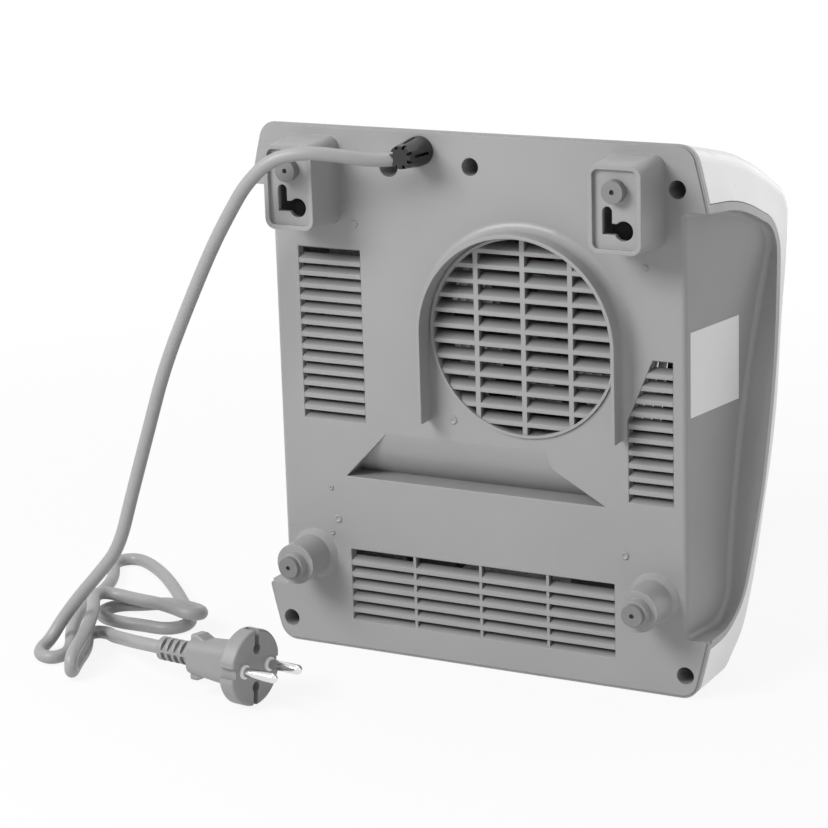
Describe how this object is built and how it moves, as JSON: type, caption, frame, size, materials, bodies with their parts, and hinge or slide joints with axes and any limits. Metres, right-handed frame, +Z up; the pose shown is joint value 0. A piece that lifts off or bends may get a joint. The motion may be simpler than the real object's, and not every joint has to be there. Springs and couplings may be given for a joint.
{
  "type": "bathroom fan heater",
  "caption": "Wall-hung bathroom fan heater with a curved white front, grey louvred back on standoff bosses, two control knobs, mains lead and plug.",
  "frame": {"origin": "bottom centre of the heater, lead and plug left out", "axes": "+Z up, front with the knobs towards -Y, wall side towards +Y, +X to the right seen from the front"},
  "size_m": [0.3814, 0.2015, 0.2599],
  "materials": {
    "grey_housing": "fine matte moulding",
    "white_cover": "satin gloss",
    "label_blank": "bare printed-film blank",
    "bumper_rubber": "soft rubber",
    "screw_steel": "zinc plated",
    "gland_black": "semi-matte",
    "cord_grey": "smooth flexible sheath",
    "plug_grey": "smooth moulding",
    "pin_chrome": "plated",
    "collar_white": "smooth",
    "duct_plastic": "heat-proof moulding",
    "impeller_plastic": "moulded",
    "motor_steel": "plated sheet",
    "lamination": "stacked sheet steel",
    "rotor_aluminium": "turned",
    "coil_copper": "enamelled winding",
    "bronze": "plain",
    "element_plastic": "heat-proof moulding",
    "fin_aluminium": "plain",
    "fuse_metal": "plain",
    "lens_red": "clear red",
    "lamp_glass": "plain",
    "wire_sheath": "smooth"
  },
  "bodies": {
    "heater": {"bracket_screws": "screw_steel", "clamp_screws": "screw_steel", "cord_clamp": "collar_white", "cord_gland": "gland_black", "cover_screws": "screw_steel", "element_fins": "fin_aluminium", "element_frame": "element_plastic", "element_screws": "screw_steel", "element_terminals": "bronze", "fan_inlet_grille": "grey_housing", "fan_shroud": "duct_plastic", "front_bearing": "bronze", "front_bridge": "motor_steel", "front_cover": "white_cover", "inner_lead": "cord_grey", "inner_wires": "wire_sheath", "left_vent_louvres": "grey_housing", "lower_vent_louvres": "grey_housing", "mains_cord": "cord_grey", "motor_bracket": "motor_steel", "motor_coil": "coil_copper", "motor_screws": "screw_steel", "motor_stator": "lamination", "outlet_grille": "white_cover", "pilot_lamp": "lamp_glass", "pilot_lens": "lens_red", "pin_collars": "collar_white", "plug_body": "plug_grey", "plug_pins": "pin_chrome", "rating_label": "label_blank", "rear_bearing": "bronze", "rear_housing": "grey_housing", "right_vent_louvres": "grey_housing", "selector_body": "element_plastic", "selector_nut": "screw_steel", "shroud_screws": "screw_steel", "terminal_block": "collar_white", "terminal_screws": "screw_steel", "thermal_cutout": "element_plastic", "thermal_fuse": "fuse_metal", "thermostat_body": "element_plastic", "thermostat_nut": "screw_steel", "wall_bumpers": "bumper_rubber"},
    "fan": {"impeller": "impeller_plastic", "impeller_nut": "screw_steel", "motor_shaft": "motor_steel", "motor_rotor": "rotor_aluminium"},
    "thermostat_dial": {"thermostat_shaft": "motor_steel", "thermostat_knob": "white_cover"},
    "selector_dial": {"selector_shaft": "motor_steel", "selector_knob": "white_cover"}
  },
  "joints": [
    {"name": "fan_spin", "type": "hinge", "parent": "heater", "child": "fan", "pos_m": [-0.0254, 0, 0.16531], "axis": [0, 1, 0], "continuous": true},
    {"name": "thermostat_turn", "type": "hinge", "parent": "heater", "child": "thermostat_dial", "pos_m": [-0.045, -0.02426, 0.048], "axis": [0, 1, 0], "range_deg": [0, 270]},
    {"name": "selector_turn", "type": "hinge", "parent": "heater", "child": "selector_dial", "pos_m": [0.045, -0.02426, 0.048], "axis": [0, 1, 0], "range_deg": [0, 135]}
  ]
}
